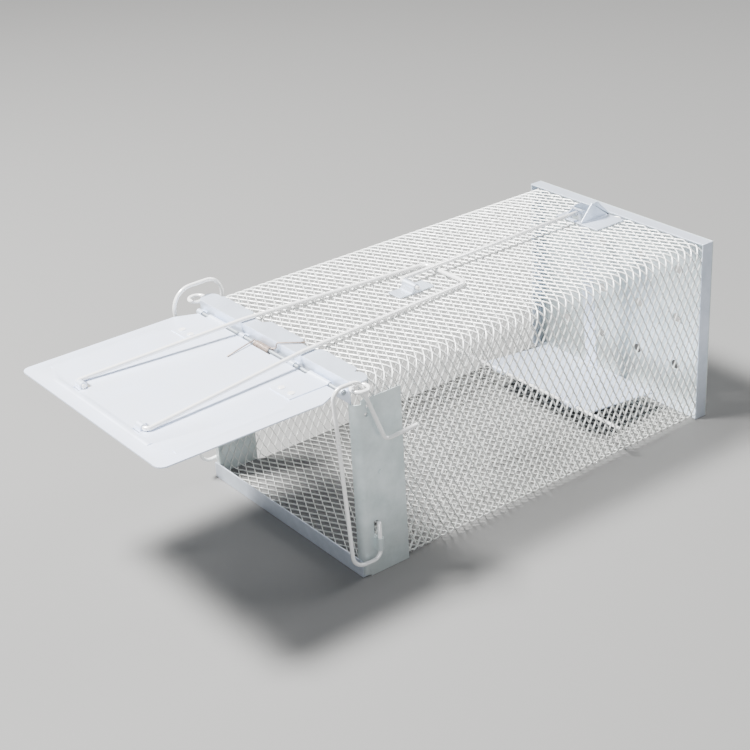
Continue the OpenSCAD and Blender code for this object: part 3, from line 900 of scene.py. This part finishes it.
@dataclass
class DoorSpring:
    """The door's torsion spring: a coil on the hinge pin and a leg on each side."""

    wire: float = 0.8
    coil_from: float = -10.6
    coil_to: float = 3.4
    turns: int = 14
    coil_radius: float = 1.9
    coil_exit: tuple[float, float, float] = (3.0, 1.6, 0.6)
    rear_knee: tuple[float, float] = (5.4, 1.0)
    rear_tip_inset: float = 0.4
    rear_tip_drop: float = 0.2
    exit_bend: float = 0.4
    rear_bend: float = 1.2
    front_knee: tuple[float, float, float] = (0.4, -3.0, -0.2)
    front_bend: float = 2.0

    def build(self, shop: Workshop) -> None:
        """Builds the coil with its rear leg, and the front leg.

        Args:
            shop: makes the objects.
        """
        pin_low, pin_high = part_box("hinge_pin")
        pin = (pin_low + pin_high) / 2 / MM
        coil = self.coil(pin)
        _, leg_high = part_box("spring_coil")
        end = coil[-1]
        roof = leg_high.z / MM - self.wire / 2
        leg = [
            end + Vector(self.coil_exit),
            Vector((end.x + self.rear_knee[0], pin.y + self.rear_knee[1], roof)),
            Vector((
                leg_high.x / MM - self.rear_tip_inset,
                leg_high.y / MM - self.rear_tip_inset,
                roof - self.rear_tip_drop,
            )),
        ]
        points = [tuple(p) for p in coil + leg]
        bends = [0.0] * (len(coil) - 2) + [self.exit_bend, self.rear_bend, self.rear_bend]
        wire = Wire("door_spring_coil", self.wire, points, bends, sides=10)
        piece = shop.piece("door_spring_coil", wire.mesh(), SPRING_BROWN)
        shop.hand_over(piece, Body.CAGE, ["spring_coil"])
        low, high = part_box("spring_leg")
        start = Vector((low.x / MM + self.wire / 2, pin.y, pin.z + self.coil_radius))
        tip = Vector((high.x / MM - self.wire / 2, low.y / MM + self.wire / 2, low.z / MM + self.wire / 2))
        knee = start + Vector(self.front_knee)
        path = [tuple(start), tuple(knee), tuple(tip)]
        front = Wire("door_spring_leg", self.wire, path, [self.front_bend], sides=10)
        piece = shop.piece("door_spring_leg", front.mesh(), SPRING_BROWN)
        shop.hand_over(piece, Body.DOOR, ["spring_leg"])

    def coil(self, pin: Vector) -> list[Vector]:
        """The coil's points about the pin.

        Args:
            pin: the hinge pin's middle.

        Returns:
            The points from left to right, ending on top.
        """
        per_turn = 16
        count = self.turns * per_turn
        points = []
        for k in range(count + 1):
            angle = 2 * math.pi * k / per_turn
            x = self.coil_from + (self.coil_to - self.coil_from) * k / count
            points.append(Vector((
                x,
                pin.y - self.coil_radius * math.sin(angle),
                pin.z + self.coil_radius * math.cos(angle),
            )))
        return points


@dataclass
class TriggerWires:
    """The bail that holds the door up and the rod that holds the bail down."""

    bail_wire: float = 2.5
    rod_wire: float = 2.5
    loop: tuple[float, float, float] = (36.4, -234.0, 113.75)
    stub_end: float = 27.4
    over_rail: tuple[float, float, float] = (28.2, -133.0, 119.35)
    crossbar: tuple[float, float, float] = (18.6, -11.0, 118.55)
    saddle: tuple[float, float] = (-39.0, 120.75)
    saddle_end: float = 9.8
    trigger_x: float = -7.5
    loop_bend: float = 2.6
    rail_bend: float = 20.0
    crossbar_bend: float = 5.0
    rod_bend: float = 3.6

    def build(self, shop: Workshop) -> None:
        """Builds both wires.

        Args:
            shop: makes the objects.
        """
        right = [(self.stub_end, self.loop[1], self.loop[2]), self.loop, self.over_rail, self.crossbar]
        left = [(-x, y, z) for x, y, z in reversed(right)]
        bends = [self.loop_bend, self.rail_bend, self.crossbar_bend]
        bail = Wire("bail_wire", self.bail_wire, right + left, bends + bends[::-1])
        shop.hand_over(shop.piece("bail_wire", bail.mesh(), WIRE_ZINC), Body.BAIL, ["bail"])
        low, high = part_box("trigger_rod")
        y, z = self.saddle
        points = [
            (self.saddle_end, y, z),
            (self.trigger_x, y, z),
            (self.trigger_x, high.y / MM, high.z / MM - self.rod_wire / 2),
        ]
        rod = Wire("trigger_wire", self.rod_wire, points, [self.rod_bend])
        trigger = shop.piece("trigger_wire", rod.mesh(), WIRE_ZINC)
        shop.hand_over(trigger, Body.ROD, ["trigger_rod"])
        PressedPiece("rod_saddle", Body.CAGE, FRAME_ZINC, edge=0.2).build(shop)
        PressedPiece("catch_guide", Body.CAGE, FRAME_ZINC, edge=0.2).build(shop)


@dataclass
class LockWires:
    """The two wires that swing in over the closed door's edges."""

    wire: float = 2.3
    pivot: tuple[float, float] = (77.6, -126.0)
    roof: float = 118.0
    tail_bend: float = 3.0
    foot_bend: float = 8.0
    pivot_bend: float = 5.0

    def build(self, shop: Workshop) -> None:
        """Builds the two locks.

        Args:
            shop: makes the objects.
        """
        self.lock(shop, "left", -1, crown=7.6, back=11.0, front_bend=12.0, back_bend=10.0)
        self.lock(shop, "right", 1, crown=2.3, back=-7.4, front_bend=6.0, back_bend=5.0)

    def lock(
        self, shop: Workshop, name: str, side: int, crown: float, back: float,
        front_bend: float, back_bend: float,
    ) -> None:
        """Builds one lock.

        Args:
            shop: makes the objects.
            name: left or right.
            side: -1 for the left and 1 for the right.
            crown: height of its top over the roof.
            back: place of its rear shoulder behind the pivot.
            front_bend: radius of its front shoulder.
            back_bend: radius of its rear shoulder.
        """
        x, y = self.pivot
        top = self.roof + crown
        shape = [
            (6.4, 24.0, 86.2),
            (0.6, 7.0, 81.0),
            (0.0, back, top),
            (-0.8, -23.7, top),
            (-1.2, -17.3, 10.4),
            (0.0, 0.0, 10.9),
            (0.0, 0.0, 33.0),
        ]
        points = [(side * (x + px), y + py, pz) for px, py, pz in shape]
        bends = [self.tail_bend, back_bend, front_bend, self.foot_bend, self.pivot_bend]
        wire = Wire(f"lock_{name}_wire", self.wire, points, bends)
        piece = shop.piece(f"lock_{name}_bent_wire", wire.mesh(), WIRE_ZINC)
        body = Body.LOCK_LEFT if side < 0 else Body.LOCK_RIGHT
        shop.hand_over(piece, body, [f"lock_wire_{name}"])


@dataclass
class Treadle:
    """The pan, its upright arm and their rivets."""

    def build(self, shop: Workshop) -> None:
        """Builds the treadle's pieces.

        Args:
            shop: makes the objects.
        """
        PressedPiece("treadle_pan", Body.TREADLE, PAN_ZINC, edge=0.2).build(shop)
        PressedPiece("treadle_arm", Body.TREADLE, FRAME_ZINC, edge=0.15).build(shop)
        PressedPiece("treadle_rivets", Body.TREADLE, WIRE_ZINC, Slot.WIRE, edge=0.12).build(shop)
        shop.dressed_node("treadle_axle", WIRE_ZINC)


# ---------------------------------------------------------------- studio


@dataclass
class Studio:
    """A pale floor, soft light and the camera."""

    camera_place: tuple[float, float, float] = (0.6599, -0.5504, 0.4853)
    camera_ahead: tuple[float, float, float] = (-0.7194, 0.5281, -0.4512)
    camera_up: tuple[float, float, float] = (-0.3281, 0.3143, 0.8908)
    lens: float = 76.3
    sensor: float = 36.0

    def build(self) -> None:
        """Builds the whole studio."""
        self.camera()
        self.floor()
        self.lights()
        self.surroundings()

    def camera(self) -> None:
        """Sets the scene's camera."""
        data = bpy.data.cameras.new("camera")
        data.lens = self.lens
        data.sensor_width = self.sensor
        data.clip_start = 0.01
        made = bpy.data.objects.new("camera", data)
        back = -Vector(self.camera_ahead).normalized()
        right = Vector(self.camera_up).cross(back).normalized()
        up = back.cross(right)
        turn = Matrix((right, up, back)).transposed().to_4x4()
        made.matrix_world = Matrix.Translation(Vector(self.camera_place)) @ turn
        bpy.context.scene.collection.objects.link(made)
        bpy.context.scene.camera = made

    def floor(self) -> None:
        """Lays the pale floor."""
        shell = bmesh.new()
        bmesh.ops.create_grid(shell, x_segments=1, y_segments=1, size=12.0)
        mesh = bpy.data.meshes.new("studio_floor")
        shell.to_mesh(mesh)
        shell.free()
        paper = bpy.data.materials.new("studio_paper")
        paper.use_nodes = True
        shader = paper.node_tree.nodes["Principled BSDF"]
        shader.inputs["Base Color"].default_value = (0.15, 0.15, 0.148, 1.0)
        shader.inputs["Roughness"].default_value = 0.9
        mesh.materials.append(paper)
        made = bpy.data.objects.new("studio_floor", mesh)
        made.location.z = -0.0002
        bpy.context.scene.collection.objects.link(made)

    def lights(self) -> None:
        """Hangs the soft lights."""
        self.lamp("key", (-0.55, -0.75, 1.7), 0.4, 235.0, (1.0, 0.99, 0.97))
        self.lamp("fill", (1.2, -1.1, 0.7), 0.8, 13.0, (0.95, 0.98, 1.0))
        self.lamp("back", (0.3, 1.6, 1.3), 0.9, 40.0, (1.0, 1.0, 1.0))

    def lamp(self, name: str, place: Point, size: float, power: float, colour: Point) -> None:
        """Hangs one square light that faces the trap.

        Args:
            name: the light's name.
            place: where it hangs, in metres.
            size: its side, in metres.
            power: its power, in watts.
            colour: its colour.
        """
        data = bpy.data.lights.new(name, "AREA")
        data.size = size
        data.energy = power
        data.color = colour
        made = bpy.data.objects.new(name, data)
        made.location = place
        made.rotation_euler = (Vector((0, -0.05, 0.06)) - Vector(place)).to_track_quat("-Z", "Y").to_euler()
        bpy.context.scene.collection.objects.link(made)

    def surroundings(self) -> None:
        """Sets an even pale sky."""
        world = bpy.data.worlds.new("studio_sky")
        world.use_nodes = True
        sky = world.node_tree.nodes["Background"]
        sky.inputs["Color"].default_value = (0.93, 0.96, 1.0, 1.0)
        sky.inputs["Strength"].default_value = 0.26
        bpy.context.scene.world = world


def main() -> None:
    """Builds the trap and its studio."""
    logging.basicConfig(level=logging.INFO, format="%(name)s %(message)s")
    shop = Workshop()
    for part in (ExpandedCage(), FrontFrame(), RearEnd(), Door(), DoorSpring(), TriggerWires(), LockWires(),
                 Treadle()):
        LOG.info("building %s", type(part).__name__)
        part.build(shop)
    Studio().build()


if __name__ == "__main__":
    main()
